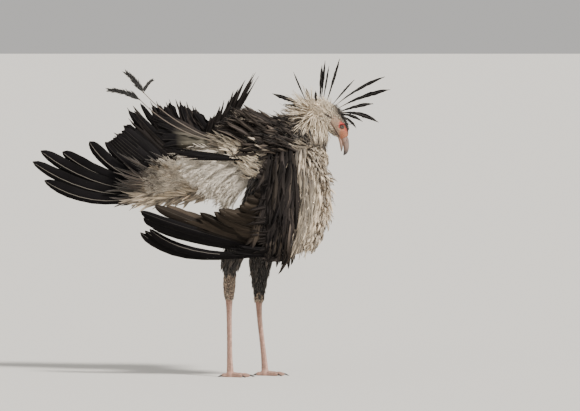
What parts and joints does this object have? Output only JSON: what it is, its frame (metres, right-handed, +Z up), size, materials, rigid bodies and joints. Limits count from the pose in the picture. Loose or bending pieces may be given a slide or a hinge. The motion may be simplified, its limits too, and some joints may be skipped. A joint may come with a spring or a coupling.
{
  "type": "secretary bird",
  "caption": "Still life-size long-legged bird of prey that stands and ruffles, one wing drooped, one stretched back, crest raised.",
  "frame": {"origin": "on the floor, under the middle of the bird's box", "axes": "+X towards the beak, +Z up, -Y towards the bird's right side"},
  "size_m": [1.3629, 0.3905, 1.2053],
  "materials": {
    "plumage": "soft grey feathers, raised and full of air",
    "flight_feathers": "black feathers over flesh",
    "horn": "smooth grey horn",
    "eye": "wet and glossy",
    "leg_skin": "pinkish scales"
  },
  "bodies": {
    "root": {"torso": "plumage", "neck": "plumage", "head": "plumage", "tail": "plumage", "eye_right": "eye", "eye_left": "eye", "beak_upper": "horn", "beak_lower": "horn", "wing_right_arm": "flight_feathers", "wing_right_hand": "flight_feathers", "wing_left_arm": "flight_feathers", "wing_left_hand": "flight_feathers", "thigh_right": "flight_feathers", "thigh_left": "flight_feathers", "shank_right": "leg_skin", "shank_left": "leg_skin", "foot_right": "leg_skin", "foot_left": "leg_skin", "claw_right_middle": "horn", "claw_right_inner": "horn", "claw_right_outer": "horn", "claw_right_hind": "horn", "claw_left_middle": "horn", "claw_left_inner": "horn", "claw_left_outer": "horn", "claw_left_hind": "horn"}
  },
  "joints": []
}
